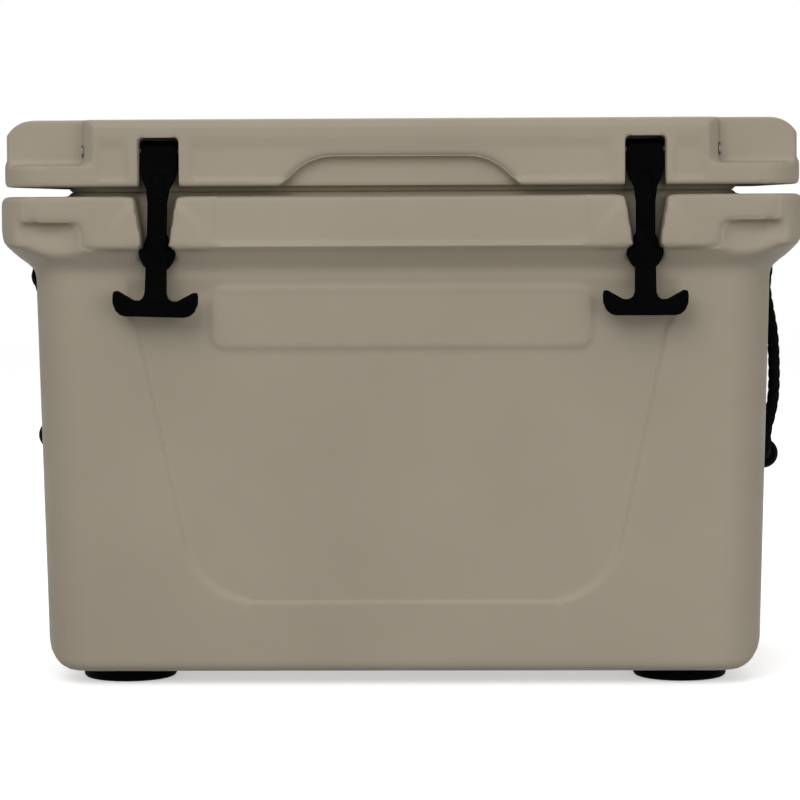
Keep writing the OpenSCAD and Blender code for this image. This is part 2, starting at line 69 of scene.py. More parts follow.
def makeCamera(setup):
    data = bpy.data.cameras.new("camera")
    data.lens = setup["lens"]
    data.sensor_width = setup["sensor"]
    camera = bpy.data.objects.new("camera", data)
    bpy.context.scene.collection.objects.link(camera)
    camera.location = setup["place"]
    aim = Vector(setup["lookAt"]) - camera.location
    upright = aim.to_track_quat("-Z", "Y").to_matrix()
    roll = Matrix.Rotation(math.radians(-setup["tilt"]), 3, "Z")
    camera.rotation_euler = (upright @ roll).to_euler()
    bpy.context.scene.camera = camera


lightSetup = {
    "sky": 0.56, "ground": 0.24, "backdrop": 1.0,
    "lights": {
        "keyLight": {"place": (-0.9, -2.7, 2.1), "size": 2.2, "power": 42},
        "fillLight": {"place": (1.3, -2.6, 0.60), "size": 1.8, "power": 19},
        "backLight": {"place": (0.2, 2.2, 2.4), "size": 2.0, "power": 22},
    },
}


# a white studio: bright overhead, dim from below, and a white backdrop behind
def makeWorld(setup):
    world = bpy.data.worlds.new("studio")
    world.use_nodes = True
    tree = world.node_tree
    sky = tree.nodes["Background"]
    place = tree.nodes.new("ShaderNodeTexCoord")
    height = tree.nodes.new("ShaderNodeSeparateXYZ")
    ramp = tree.nodes.new("ShaderNodeMapRange")
    ramp.inputs["From Min"].default_value = -0.25
    ramp.inputs["From Max"].default_value = 0.45
    ramp.inputs["To Min"].default_value = setup["ground"]
    ramp.inputs["To Max"].default_value = setup["sky"]
    backdrop = tree.nodes.new("ShaderNodeBackground")
    backdrop.inputs["Strength"].default_value = setup["backdrop"]
    sight = tree.nodes.new("ShaderNodeLightPath")
    choose = tree.nodes.new("ShaderNodeMixShader")
    links = tree.links
    links.new(place.outputs["Generated"], height.inputs[0])
    links.new(height.outputs["Z"], ramp.inputs["Value"])
    links.new(ramp.outputs["Result"], sky.inputs["Strength"])
    for source in (sky, backdrop):
        source.inputs["Color"].default_value = (1, 1, 1, 1)
    links.new(sight.outputs["Is Camera Ray"], choose.inputs[0])
    links.new(sky.outputs[0], choose.inputs[1])
    links.new(backdrop.outputs[0], choose.inputs[2])
    links.new(choose.outputs[0], tree.nodes["World Output"].inputs["Surface"])
    bpy.context.scene.world = world


def makeLights(setup):
    scene = bpy.context.scene
    scene.view_settings.view_transform = "Standard"
    makeWorld(setup)
    for name, light in setup["lights"].items():
        data = bpy.data.lights.new(name, "AREA")
        data.energy = light["power"]
        data.size = light["size"]
        lamp = bpy.data.objects.new(name, data)
        scene.collection.objects.link(lamp)
        lamp.location = light["place"]
        aim = Vector((0, 0, 0.22)) - lamp.location
        lamp.rotation_euler = aim.to_track_quat("-Z", "Y").to_euler()


def makeFloor():
    bm = bmesh.new()
    bmesh.ops.create_grid(bm, x_segments=1, y_segments=1, size=6)
    bmesh.ops.translate(bm, vec=(0, 0, -0.0005), verts=bm.verts)
    floor = toObject("floor", bm)
    finish = bpy.data.materials.new("pale_floor")
    finish.use_nodes = True
    shader = finish.node_tree.nodes["Principled BSDF"]
    shader.inputs["Base Color"].default_value = (0.95, 0.95, 0.95, 1)
    shader.inputs["Roughness"].default_value = 0.9
    shader.inputs["Emission Color"].default_value = (1, 1, 1, 1)
    shader.inputs["Emission Strength"].default_value = 0.46
    floor.data.materials.append(finish)
    floor.visible_diffuse = False


# mesh helpers

def toObject(name, bm):
    mesh = bpy.data.meshes.new(name)
    bm.normal_update()
    bm.to_mesh(mesh)
    bm.free()
    piece = bpy.data.objects.new(name, mesh)
    bpy.context.scene.collection.objects.link(piece)
    return piece


def bevel(bm, edges, width, steps):
    bmesh.ops.bevel(bm, geom=edges, offset=width, offset_type="OFFSET", segments=steps,
                    profile=0.5, affect="EDGES", material=-1, clamp_overlap=True)


def edgesAlong(bm, axis, share=0.9):
    reach = max(v.co[axis] for v in bm.verts) - min(v.co[axis] for v in bm.verts)
    return [e for e in bm.edges if abs(e.verts[0].co[axis] - e.verts[1].co[axis]) > reach * share]


def edgesAt(bm, axis, value):
    return [e for e in bm.edges if all(abs(v.co[axis] - value) < 1e-5 for v in e.verts)]


# a block between two corners, with round uprights and round upper and lower edges;
# lowInset pulls its lower face in, in X and in Y
def softBlock(low, high, corner=0, topEdge=0, lowEdge=0, lowInset=(0, 0), steps=6):
    low, high = Vector(low), Vector(high)
    size = high - low
    bm = bmesh.new()
    bmesh.ops.create_cube(bm, size=1)
    bmesh.ops.scale(bm, vec=size, verts=bm.verts)
    foot = [v for v in bm.verts if v.co.z < 0]
    shrink = (1 - 2 * lowInset[0] / size.x, 1 - 2 * lowInset[1] / size.y, 1)
    bmesh.ops.scale(bm, vec=shrink, verts=foot)
    if corner:
        bevel(bm, edgesAlong(bm, 2), corner, steps)
    if topEdge:
        bevel(bm, edgesAt(bm, 2, size.z / 2), topEdge, steps)
    if lowEdge:
        bevel(bm, edgesAt(bm, 2, -size.z / 2), lowEdge, steps)
    bmesh.ops.translate(bm, vec=(low + high) / 2, verts=bm.verts)
    return bm


# a rod from one end to the other, along X, Y or Z
def rod(axis, start, end, place, radius, sides=48):
    bm = bmesh.new()
    bmesh.ops.create_cone(bm, cap_ends=True, segments=sides, radius1=radius, radius2=radius,
                          depth=end - start)
    turn = {"X": ((0, 1, 0), 90), "Y": ((1, 0, 0), 90), "Z": ((0, 0, 1), 0)}[axis]
    spin = Matrix.Rotation(math.radians(turn[1]), 3, Vector(turn[0]))
    bmesh.ops.rotate(bm, cent=(0, 0, 0), matrix=spin, verts=bm.verts)
    middle = (start + end) / 2
    places = {"X": (middle, *place), "Y": (place[0], middle, place[1]), "Z": (*place, middle)}
    bmesh.ops.translate(bm, vec=places[axis], verts=bm.verts)
    return bm


# a flat outline in two axes, pulled out along the third
def pulled(points, axis, start, end):
    bm = bmesh.new()
    order = {"X": lambda a, b: (start, a, b),
             "Y": lambda a, b: (a, start, b),
             "Z": lambda a, b: (a, b, start)}[axis]
    bm.faces.new([bm.verts.new(order(*point)) for point in points])
    made = bmesh.ops.extrude_face_region(bm, geom=bm.faces[:])["geom"]
    step = {"X": (end - start, 0, 0), "Y": (0, end - start, 0), "Z": (0, 0, end - start)}[axis]
    bmesh.ops.translate(bm, vec=step, verts=[g for g in made if isinstance(g, bmesh.types.BMVert)])
    bmesh.ops.recalc_face_normals(bm, faces=bm.faces)
    return bm


def applyAll(piece):
    ready = piece.evaluated_get(bpy.context.evaluated_depsgraph_get())
    mesh = bpy.data.meshes.new_from_object(ready)
    piece.modifiers.clear()
    piece.data = mesh


def combine(piece, tools, operation, solver="EXACT"):
    for count, bm in enumerate(tools):
        tool = toObject("tool" + str(count), bm)
        join = piece.modifiers.new("join", "BOOLEAN")
        join.object = tool
        join.operation = operation
        join.solver = solver
        applyAll(piece)
        bpy.data.objects.remove(tool)


def mirrored(bm):
    twin = bm.copy()
    bmesh.ops.scale(twin, vec=(-1, 1, 1), verts=twin.verts)
    bmesh.ops.reverse_faces(twin, faces=twin.faces)
    return twin


def bothSides(*shapes):
    return [one for bm in shapes for one in (bm, mirrored(bm))]


# one continuous skin over everything, with melted edges, as a rotomoulding has
def meltSkin(piece, voxel, rounds):
    skin = piece.modifiers.new("skin", "REMESH")
    skin.mode = "VOXEL"
    skin.voxel_size = voxel
    skin.use_smooth_shade = True
    soft = piece.modifiers.new("soft", "SMOOTH")
    soft.factor = 0.5
    soft.iterations = rounds
    applyAll(piece)


# melts the skin further in one region, given as a box that counts for both halves in X
def soften(piece, low, high, rounds):
    bm = bmesh.new()
    bm.from_mesh(piece.data)
    near = [v for v in bm.verts if low[0] <= abs(v.co.x) < high[0] and low[1] < v.co.y < high[1]
            and low[2] < v.co.z < high[2]]
    for _ in range(rounds):
        bmesh.ops.smooth_vert(bm, verts=near, factor=0.5, use_axis_x=True, use_axis_y=True, use_axis_z=True)
    bm.to_mesh(piece.data)
    bm.free()


def thin(piece, keep):
    fewer = piece.modifiers.new("fewer", "DECIMATE")
    fewer.ratio = keep
    applyAll(piece)


def shadeSmooth(piece):
    piece.data.polygons.foreach_set("use_smooth", [True] * len(piece.data.polygons))


# one finish all over, whatever the joined tools left behind
def dress(piece, finish):
    piece.data.materials.clear()
    piece.data.materials.append(finish)
    piece.data.polygons.foreach_set("material_index", [0] * len(piece.data.polygons))


def shadeByAngle(piece, angle=0.6):
    shadeSmooth(piece)
    piece.data.set_sharp_from_angle(angle=angle)


# shallow relief, raised or sunk on a front face

def easeIn(value):
    value = min(1, max(0, value))
    return value * value * (3 - 2 * value)


def discDistance(x, z, centre, radius):
    return math.hypot(x - centre[0], z - centre[1]) - radius


def plateDistance(x, z, low, high, radius):
    dx = abs(x - (low[0] + high[0]) / 2) - (high[0] - low[0]) / 2 + radius
    dz = abs(z - (low[1] + high[1]) / 2) - (high[1] - low[1]) / 2 + radius
    return math.hypot(max(dx, 0), max(dz, 0)) + min(max(dx, dz), 0) - radius


# a plate whose sides lean in towards its lower edge
def leaningDistance(x, z, halfTop, halfLow, low, high, radius):
    lean = math.atan2(halfTop - halfLow, high - low)
    across = (abs(x) - halfLow) * math.cos(lean) - (z - low) * math.sin(lean) + radius
    down = low - z + radius
    corner = math.hypot(max(across, 0), max(down, 0)) + min(max(across, down), 0) - radius
    return max(corner, z - high)


def fadeDistance(z, level):
    return (z - level) * 0.25


# moves the skin of one face along its own axis; height is outwards
def press(piece, face, region, shapes):
    axis, across, up, sign = {"front": (1, 0, 2, -1), "top": (2, 0, 1, 1)}[face]
    bm = bmesh.new()
    bm.from_mesh(piece.data)
    facing = [v for v in bm.verts if v.normal[axis] * sign > 0.55 and region(v.co)]
    for v in facing:
        for distance, height, soft in shapes:
            v.co[axis] += sign * height * easeIn(0.5 - distance(v.co[across], v.co[up]) / soft)
    bm.to_mesh(piece.data)
    bm.free()


# body

bodyShape = {
    "wallTop": (0.3105, 0.180), "wallInset": (0.0078, 0.009), "wallCorner": 0.042,
    "base": 0.011, "frontEdge": 0.009, "endEdge": 0.029, "rimLow": 0.3682, "slope": 0.018,
    "rim": (0.335, 0.198), "rimTop": 0.4115, "rimCorner": 0.038,
    "plinth": (0.278, 0.172, 0.4150), "plinthCorner": 0.024,
    "voxel": 0.0025, "melt": 2, "keep": 0.42,
}
# low corner, high corner and rounds of further melting
bodySoftSpots = {
    "slopeFoot": ((0, -0.3, 0.3362), (0.4, 0.3, 0.3592), 14),
    "notch": ((0.1748, -0.3, 0.3502), (0.2308, -0.17, 0.42), 8),
    "scoop": ((0.252, -0.3, 0.3502), (0.331, -0.17, 0.398), 9),
}
latchAt = 0.202
latchShift = {"left": 0.0024, "right": 0.0}  # the two straps don't sit quite alike


def wallBlock(shape):
    halfW, halfD = shape["wallTop"]
    return softBlock((-halfW, -halfD, shape["base"]), (halfW, halfD, shape["rimLow"] + 0.01),
                     corner=shape["wallCorner"], lowEdge=shape["frontEdge"],
                     lowInset=shape["wallInset"], steps=8)


# trims the wall to the broad rounding that its ends have underneath
def endTrim(shape):
    halfW, inset = shape["wallTop"][0], shape["wallInset"][0]
    bm = softBlock((-halfW, -0.3, shape["base"]), (halfW, 0.3, shape["rimLow"] + 0.01),
                   lowInset=(inset, 0))
    low = [e for e in edgesAt(bm, 2, shape["base"]) if abs(e.verts[0].co.y - e.verts[1].co.y) > 0.1]
    bevel(bm, low, shape["endEdge"], 10)
    return bm


def slopeBlock(shape):
    halfW, halfD = shape["rim"]
    inset = (halfW - shape["wallTop"][0] - 0.001, halfD - shape["wallTop"][1] - 0.001)
    return softBlock((-halfW + 0.001, -halfD + 0.001, shape["rimLow"] - shape["slope"]),
                     (halfW - 0.001, halfD - 0.001, shape["rimLow"] + 0.002),
                     corner=shape["rimCorner"], lowInset=inset, steps=8)


def rimBlock(shape):
    halfW, halfD = shape["rim"]
    return softBlock((-halfW, -halfD, shape["rimLow"]), (halfW, halfD, shape["rimTop"]),
                     corner=shape["rimCorner"], topEdge=0.0025, lowEdge=0.002, steps=8)


# rounds the rim's ends off, above and where they run down into the slope
def rimEndCutters(shape):
    low, top, end = shape["rimLow"], shape["rimTop"], shape["rim"][0]
    under = [(end + 0.001, low + 0.0200), (end - 0.0006, low + 0.0140), (end - 0.0020, low + 0.0085),
             (end - 0.0042, low + 0.0036), (end - 0.0072, low - 0.0010), (end - 0.0108, low - 0.0052),
             (end - 0.0150, low - 0.0096), (end - 0.0190, low - 0.0150), (end + 0.0200, low - 0.0150),
             (end + 0.0200, low + 0.0200)]
    over = [(end + 0.001, top - 0.0080), (end - 0.0010, top - 0.0042), (end - 0.0032, top - 0.0015),
            (end - 0.0070, top + 0.0003), (end - 0.0070, top + 0.0200), (end + 0.0200, top + 0.0200),
            (end + 0.0200, top - 0.0080)]
    return [pulled(under, "Y", -0.25, 0.25), pulled(over, "Y", -0.25, 0.25)]


def plinthBlock(shape):
    halfW, halfD, top = shape["plinth"]
    return softBlock((-halfW, -halfD, shape["rimTop"] - 0.02), (halfW, halfD, top),
                     corner=shape["plinthCorner"])


latchNotch = {"x": 0.2028, "topHalf": 0.0184, "lowHalf": 0.0093, "depth": 0.025, "edge": 0.0016,
              "stopHalf": 0.0142, "stopCorner": 0.004}


def notchCutter(shape, notch):
    bm = softBlock((-notch["topHalf"], -0.23, shape["rimLow"] - 0.003),
                   (notch["topHalf"], -shape["rim"][1] + notch["depth"], shape["rimTop"] + 0.008),
                   lowInset=(notch["topHalf"] - notch["lowHalf"], 0))
    bevel(bm, edgesAlong(bm, 1), notch["edge"], 3)
    bmesh.ops.translate(bm, vec=(notch["x"], 0, 0), verts=bm.verts)
    return bm


# room under the notch for the strap's stop
def stopCutter(shape, notch):
    bm = softBlock((-notch["stopHalf"], -0.23, shape["rimLow"] - shape["slope"] - 0.001),
                   (notch["stopHalf"], -shape["wallTop"][1] - 0.001, shape["rimLow"]),
                   corner=notch["stopCorner"])
    bmesh.ops.translate(bm, vec=(latchAt, 0, 0), verts=bm.verts)
    return bm


cornerScoop = {"x": 0.2942, "top": 0.3900, "drop": 0.0375, "topRadius": 0.0335, "lowRadius": 0.085,
               "topY": -0.2146, "lowY": -0.2780}


def scoopCutter(scoop):
    bm = bmesh.new()
    bmesh.ops.create_cone(bm, cap_ends=True, segments=96, radius1=scoop["lowRadius"],
                          radius2=scoop["topRadius"], depth=scoop["drop"])
    middle = (scoop["x"], scoop["topY"], scoop["top"] - scoop["drop"] / 2)
    bmesh.ops.translate(bm, vec=middle, verts=bm.verts)
    foot = [v for v in bm.verts if v.co.z < scoop["top"] - 0.01]
    bmesh.ops.translate(bm, vec=(0, scoop["lowY"] - scoop["topY"], 0), verts=foot)
    return bm


hingeShape = {"y": 0.192, "z": 0.414, "radius": 0.012, "bodyLugs": ((0.118, 0.143), (0.191, 0.216)),
              "lidLug": (0.1436, 0.1904), "gap": 0.0006}


def lugShape(hinge, span, low, high):
    barrel = rod("X", span[0], span[1], (hinge["y"], hinge["z"]), hinge["radius"])
    web = softBlock((span[0], hinge["y"] - hinge["radius"], low),
                    (span[1], hinge["y"] + hinge["radius"], high))
    return [barrel, web]


def rimBackCutter(shape, hinge):
    bm = softBlock((-0.4, hinge["y"] - 0.003, hinge["z"] - 0.012),
                   (0.4, shape["rim"][1] + 0.02, hinge["z"] + 0.02))
    front = [v for v in bm.verts if v.co.y < hinge["y"] and v.co.z < hinge["z"]]
    bmesh.ops.translate(bm, vec=(0, 0, 0.008), verts=front)
    return bm


cavityShape = {"top": (0.2595, 0.130), "inset": (0.015, 0.013), "floor": 0.061, "corner": 0.036,
               "edge": 0.024}


def cavityCutter(shape, cavity):
    halfW, halfD = cavity["top"]
    return softBlock((-halfW, -halfD, cavity["floor"]), (halfW, halfD, shape["plinth"][2] + 0.02),
                     corner=cavity["corner"], lowEdge=cavity["edge"], lowInset=cavity["inset"], steps=10)


ropeHoles = {"x": 0.314, "y": 0.070, "pocketRadius": 0.013, "pocketFloor": 0.390, "radius": 0.0056}
drainShape = {"z": 0.074, "pocketX": 0.281, "pocketRadius": 0.030, "holeRadius": 0.0131,
              "sump": (0.2105, 0.246), "sumpRadius": 0.0205}
fillHoles = {"x": 0.090, "radius": 0.0133, "depth": 0.0051}


def pocketCutters(holes):
    spots = [(x, y) for x in (-holes["x"], holes["x"]) for y in (-holes["y"], holes["y"])]
    pockets = [rod("Z", holes["pocketFloor"], 0.44, spot, holes["pocketRadius"]) for spot in spots]
    return pockets + [rod("Z", 0.330, 0.395, spot, holes["radius"]) for spot in spots]


# the sunken bay of an end wall, where the handle hangs
endBay = {"x": 0.2935, "halfY": 0.104, "low": 0.151, "high": 0.350, "corner": 0.022, "edge": 0.005}


def bayCutter(bay):
    bm = softBlock((bay["x"], -bay["halfY"], bay["low"]), (0.40, bay["halfY"], bay["high"]))
    bevel(bm, edgesAlong(bm, 0), bay["corner"], 8)
    bevel(bm, edgesAt(bm, 0, bay["x"]), bay["edge"], 3)
    return bm


def fillCutters(holes, low):
    return [rod("Z", low - 0.01, low + holes["depth"], (x, 0), holes["radius"])
            for x in (-holes["x"], holes["x"])]


def makeBody(shape):
    hinge, drain = hingeShape, drainShape
    body = toObject("bodyMoulding", wallBlock(shape))
    combine(body, [endTrim(shape)], "INTERSECT")
    combine(body, [slopeBlock(shape), rimBlock(shape), plinthBlock(shape)], "UNION")
    combine(body, [rimBackCutter(shape, hinge)], "DIFFERENCE")
    for span in hinge["bodyLugs"]:
        for part in lugShape(hinge, span, shape["rimLow"] + 0.012, hinge["z"]):
            combine(body, bothSides(part), "UNION")
    lidSpan = hinge["lidLug"]
    lidLugRoom = softBlock((lidSpan[0] - hinge["gap"], hinge["y"] - 0.013, hinge["z"] - 0.013),
                           (lidSpan[1] + hinge["gap"], 0.24, 0.45))
    cuts = [notchCutter(shape, latchNotch), stopCutter(shape, latchNotch), scoopCutter(cornerScoop),
            lidLugRoom, bayCutter(endBay), *rimEndCutters(shape)]
    combine(body, bothSides(*cuts), "DIFFERENCE")
    combine(body, pocketCutters(ropeHoles), "DIFFERENCE")
    drainPocket = rod("X", drain["pocketX"], 0.34, (0, drain["z"]), drain["pocketRadius"])
    combine(body, [drainPocket], "DIFFERENCE")
    print("body shaped")
    meltSkin(body, shape["voxel"], shape["melt"])
    for spot in bodySoftSpots.values():
        soften(body, *spot)
    reliefOnBody(body, shape)
    print("body skin:", len(body.data.polygons), "faces")
    thin(body, shape["keep"])
    sump = rod("X", *drain["sump"], (0, drain["z"]), drain["sumpRadius"])
    drainHole = rod("X", drain["sump"][0], drain["pocketX"] + 0.004, (0, drain["z"]), drain["holeRadius"])
    late = [cavityCutter(shape, cavityShape), sump, drainHole, *fillCutters(fillHoles, shape["base"])]
    combine(body, late, "DIFFERENCE", "MANIFOLD")
    shadeByAngle(body)
    return body


# the front panel and the lid's plates end softly above their fade level
frontPanel = {"depth": 0.0030, "halfTop": 0.2420, "halfLow": 0.1725, "low": 0.0705, "high": 0.40,
              "fade": 0.337, "corner": 0.050, "earX": 0.1906, "earZ": 0.321, "earRadius": 0.0366}
badge = {"height": 0.0022, "low": (-0.159, 0.284), "high": (0.159, 0.336), "corner": 0.012}
rimPanel = {"depth": 0.0020, "low": (-0.154, 0.372), "high": (0.154, 0.45), "corner": 0.008}
latchPad = {"height": 0.0016, "radius": 0.040}
rimEnds = {"depth": 0.0012, "from": 0.255}


def reliefOnBody(body, shape):
    def wallPanel(x, z):
        plate = leaningDistance(x, z, frontPanel["halfTop"], frontPanel["halfLow"], frontPanel["low"],
                                frontPanel["high"], frontPanel["corner"])
        ear = discDistance(abs(x), z, (frontPanel["earX"], frontPanel["earZ"]), frontPanel["earRadius"])
        return max(min(plate, ear), fadeDistance(z, frontPanel["fade"]))

    def badgePlate(x, z):
        return plateDistance(x, z, badge["low"], badge["high"], badge["corner"])

    def rimPlate(x, z):
        return plateDistance(x, z, rimPanel["low"], rimPanel["high"], rimPanel["corner"])

    def pad(x, z):
        return discDistance(abs(x), z, (latchAt, shape["rimLow"]), latchPad["radius"])

    def ends(x, z):
        return rimEnds["from"] - abs(x)

    wallTop = shape["rimLow"] - shape["slope"] + 0.001
    press(body, "front", lambda p: p.y < -0.16 and p.z < wallTop,
          [(wallPanel, -frontPanel["depth"], 0.0042), (badgePlate, badge["height"], 0.0030)])
    press(body, "front", lambda p: p.y < -shape["rim"][1] + 0.004 and p.z > shape["rimLow"] - 0.003,
          [(rimPlate, -rimPanel["depth"], 0.006), (pad, latchPad["height"], 0.005),
           (ends, -rimEnds["depth"], 0.012)])


# lid

lidShape = {
    "half": (0.3320, 0.196), "low": 0.4192, "top": 0.475, "corner": 0.038,
    "topRound": 0.026, "lowChamfer": 0.0045, "band": 0.0036, "ledge": 0.4375,
    "stepX": 0.2628, "stepDepth": 0.020, "stepMouth": 0.010,
    "pan": (0.278, 0.172), "panDrop": 0.0045, "panCorner": 0.024,
    "plug": (0.247, 0.123), "plugCorner": 0.032, "plugEdge": 0.004, "underside": 0.407,
    "voxel": 0.0022, "melt": 2, "keep": 0.60,
}


def lidBlock(shape):
    halfW, halfD = shape["half"]
    lid = toObject("lidMoulding", softBlock((-halfW, -halfD, shape["low"]), (halfW, halfD, shape["top"]),
                                            corner=shape["corner"], topEdge=0.008, lowEdge=0.0025, steps=8))
    ends = softBlock((-halfW, -0.3, shape["low"]), (halfW, 0.3, shape["top"]))
    for level, width, steps in ((shape["top"], shape["topRound"], 8),
                                (shape["low"], shape["lowChamfer"], 2)):
        edges = [e for e in edgesAt(ends, 2, level) if abs(e.verts[0].co.y - e.verts[1].co.y) > 0.1]
        bevel(ends, edges, width, steps)
    combine(lid, [ends], "INTERSECT")
    return lid


# sets the lid's ends back above the band round its foot
def bandBlocks(shape):
    halfW = shape["half"][0]
    trim = softBlock((halfW - shape["band"], -0.3, shape["ledge"] + 0.002),
                     (halfW + 0.01, 0.3, shape["top"] + 0.01))
    return bothSides(trim)


def stepCutter(shape):
    x, front, mouth = shape["stepX"], -shape["half"][1], shape["stepMouth"]
    back = front + shape["stepDepth"]
    plan = [(x, back), (x, front + 0.009), (x - mouth, front - 0.001), (x - mouth, -0.30),
            (0.36, -0.30), (0.36, back)]
    bm = pulled(plan, "Z", shape["ledge"], shape["top"] + 0.03)
    bevel(bm, edgesAt(bm, 2, shape["ledge"]), 0.003, 3)
    return bm


fingerLift = {"halfLow": 0.1050, "halfTop": 0.077, "top": 0.4452, "depth": 0.0120, "corner": 0.016,
              "taper": 0.94, "softSpot": ((0, -0.3, 0.4222), (0.118, -0.178, 0.4572), 22)}


def fingerCutter(shape, lift):
    rise = lift["top"] - shape["low"] + 0.01
    bm = softBlock((-lift["halfTop"], -0.23, shape["low"] - 0.01),
                   (lift["halfTop"], -shape["half"][1] + lift["depth"], lift["top"]))
    flare = (lift["halfLow"] - lift["halfTop"]) * rise / (lift["top"] - shape["low"])
    for side in (-1, 1):
        foot = [v for v in bm.verts if v.co.z < shape["low"] and v.co.x * side > 0]
        bmesh.ops.translate(bm, vec=(side * flare, 0, 0), verts=foot)
    bevel(bm, [e for e in edgesAlong(bm, 1) if e.verts[0].co.z > shape["low"]], lift["corner"], 6)
    inner = [v for v in bm.verts if v.co.y > -0.2]
    bmesh.ops.scale(bm, vec=(lift["taper"], 1, lift["taper"]), verts=inner,
                    space=matrixAbout((0, 0, shape["low"] - 0.01)))
    return bm


def matrixAbout(point):
    return Matrix.Translation(-Vector(point))


lidPocket = {"half": 0.0165, "depth": 0.027, "top": 0.0405}


def latchPockets(shape, pocket):
    return [softBlock((x - pocket["half"], -0.23, shape["low"] - 0.02),
                      (x + pocket["half"], -shape["half"][1] + pocket["depth"], shape["low"] + pocket["top"]))
            for x in (latchShift["left"] - latchAt, latchShift["right"] + latchAt)]


def makeLid(shape):
    lid = lidBlock(shape)
    combine(lid, bandBlocks(shape), "DIFFERENCE")
    halfW, halfD = shape["plug"]
    plug = softBlock((-halfW, -halfD, shape["underside"]), (halfW, halfD, shape["low"] + 0.01),
                     corner=shape["plugCorner"], lowEdge=shape["plugEdge"],
                     lowInset=(shape["plugEdge"], shape["plugEdge"]))
    halfW, halfD = shape["pan"]
    pan = softBlock((-halfW, -halfD, shape["low"] - shape["panDrop"]), (halfW, halfD, shape["low"] + 0.01),
                    corner=shape["panCorner"])
    combine(lid, [plug, pan], "UNION")
    hinge = hingeShape
    bodyLugRooms = [softBlock((span[0] - hinge["gap"], hinge["y"] - 0.013, hinge["z"] - 0.012),
                              (span[1] + hinge["gap"], 0.25, hinge["z"] + 0.013))
                    for span in hinge["bodyLugs"]]
    combine(lid, bothSides(*bodyLugRooms), "DIFFERENCE")
    for part in (rod("X", *hinge["lidLug"], (hinge["y"], hinge["z"]), hinge["radius"]),
                 softBlock((hinge["lidLug"][0], hinge["y"] - hinge["radius"], hinge["z"]),
                           (hinge["lidLug"][1], hinge["y"] + 0.004, shape["low"] + 0.012))):
        combine(lid, bothSides(part), "UNION")
    combine(lid, bothSides(stepCutter(shape)) + latchPockets(shape, lidPocket), "DIFFERENCE")
    combine(lid, [fingerCutter(shape, fingerLift)], "DIFFERENCE")
    print("lid shaped")
    meltSkin(lid, shape["voxel"], shape["melt"])
    soften(lid, *fingerLift["softSpot"])
    reliefOnLid(lid, shape)
    print("lid skin:", len(lid.data.polygons), "faces")
    thin(lid, shape["keep"])
    combine(lid, fillCutters(fillHoles, shape["underside"]), "DIFFERENCE", "MANIFOLD")
    shadeByAngle(lid)
    return lid


topPanel = {"depth": 0.002, "low": (-0.270, -0.134), "high": (0.270, 0.134), "corner": 0.034}
lidPanels = {"depth": 0.0018, "soft": 0.0034, "fade": 0.455, "outer": ((0.226, 0.425), (0.250, 0.49)),
             "middle": ((-0.173, 0.425), (0.173, 0.49))}


def reliefOnLid(lid, shape):
    def outerPlate(x, z):
        low, high = lidPanels["outer"]
        return max(plateDistance(abs(x), z, low, high, 0.004), fadeDistance(z, lidPanels["fade"]))

    def middlePlate(x, z):
        low, high = lidPanels["middle"]
        return max(plateDistance(x, z, low, high, 0.006), fadeDistance(z, lidPanels["fade"]))

    press(lid, "front", lambda p: p.y < -shape["half"][1] + 0.003,
          [(plate, -lidPanels["depth"], lidPanels["soft"]) for plate in (outerPlate, middlePlate)])

    def topPlate(x, y):
        return plateDistance(x, y, topPanel["low"], topPanel["high"], topPanel["corner"])

    press(lid, "top", lambda p: p.z > shape["top"] - 0.004, [(topPlate, -topPanel["depth"], 0.005)])


# latches

# halfFront goes down one edge of the strap and round the T; side is its profile in Y and Z
latchShape = {
    "halfFront": [(0.0150, 0.4575), (0.0152, 0.4320), (0.0132, 0.4245), (0.0096, 0.4175), (0.0080, 0.4060),
                  (0.0079, 0.3750), (0.0086, 0.3500), (0.0088, 0.3310), (0.0104, 0.3270), (0.0135, 0.3250),
                  (0.0180, 0.3250), (0.0315, 0.3326), (0.0345, 0.3322), (0.0352, 0.3290), (0.0350, 0.3225),
                  (0.0325, 0.3163), (0.0285, 0.3128), (0.0245, 0.3118)],
    "side": [(-0.1770, 0.4540), (-0.1850, 0.4575), (-0.1905, 0.4490), (-0.1912, 0.4350), (-0.1990, 0.4120),
             (-0.1992, 0.3500), (-0.2006, 0.3350), (-0.2035, 0.3270), (-0.2035, 0.3118), (-0.1925, 0.3118),
             (-0.1910, 0.3270), (-0.1905, 0.3400), (-0.1905, 0.4100), (-0.1775, 0.4440)],
    "pin": (-0.182, 0.449), "eyeRadius": 0.0085, "voxel": 0.00062,
    "ball": {"place": (-0.1885, 0.3676), "size": (0.0158, 0.0135, 0.0200)},
    "bulge": {"place": (-0.1895, 0.3690), "size": (0.0112, 0.0125, 0.0150)},
    "lean": {"left": 1.6, "right": 0.0},
    "tongue": {"height": 0.0010, "low": (-0.0050, 0.3860), "high": (0.0050, 0.4300), "corner": 0.005},
}


def egg(place, size):
    bm = bmesh.new()
    bmesh.ops.create_uvsphere(bm, u_segments=40, v_segments=24, radius=1)
    bmesh.ops.scale(bm, vec=size, verts=bm.verts)
    bmesh.ops.translate(bm, vec=(0, *place), verts=bm.verts)
    return bm


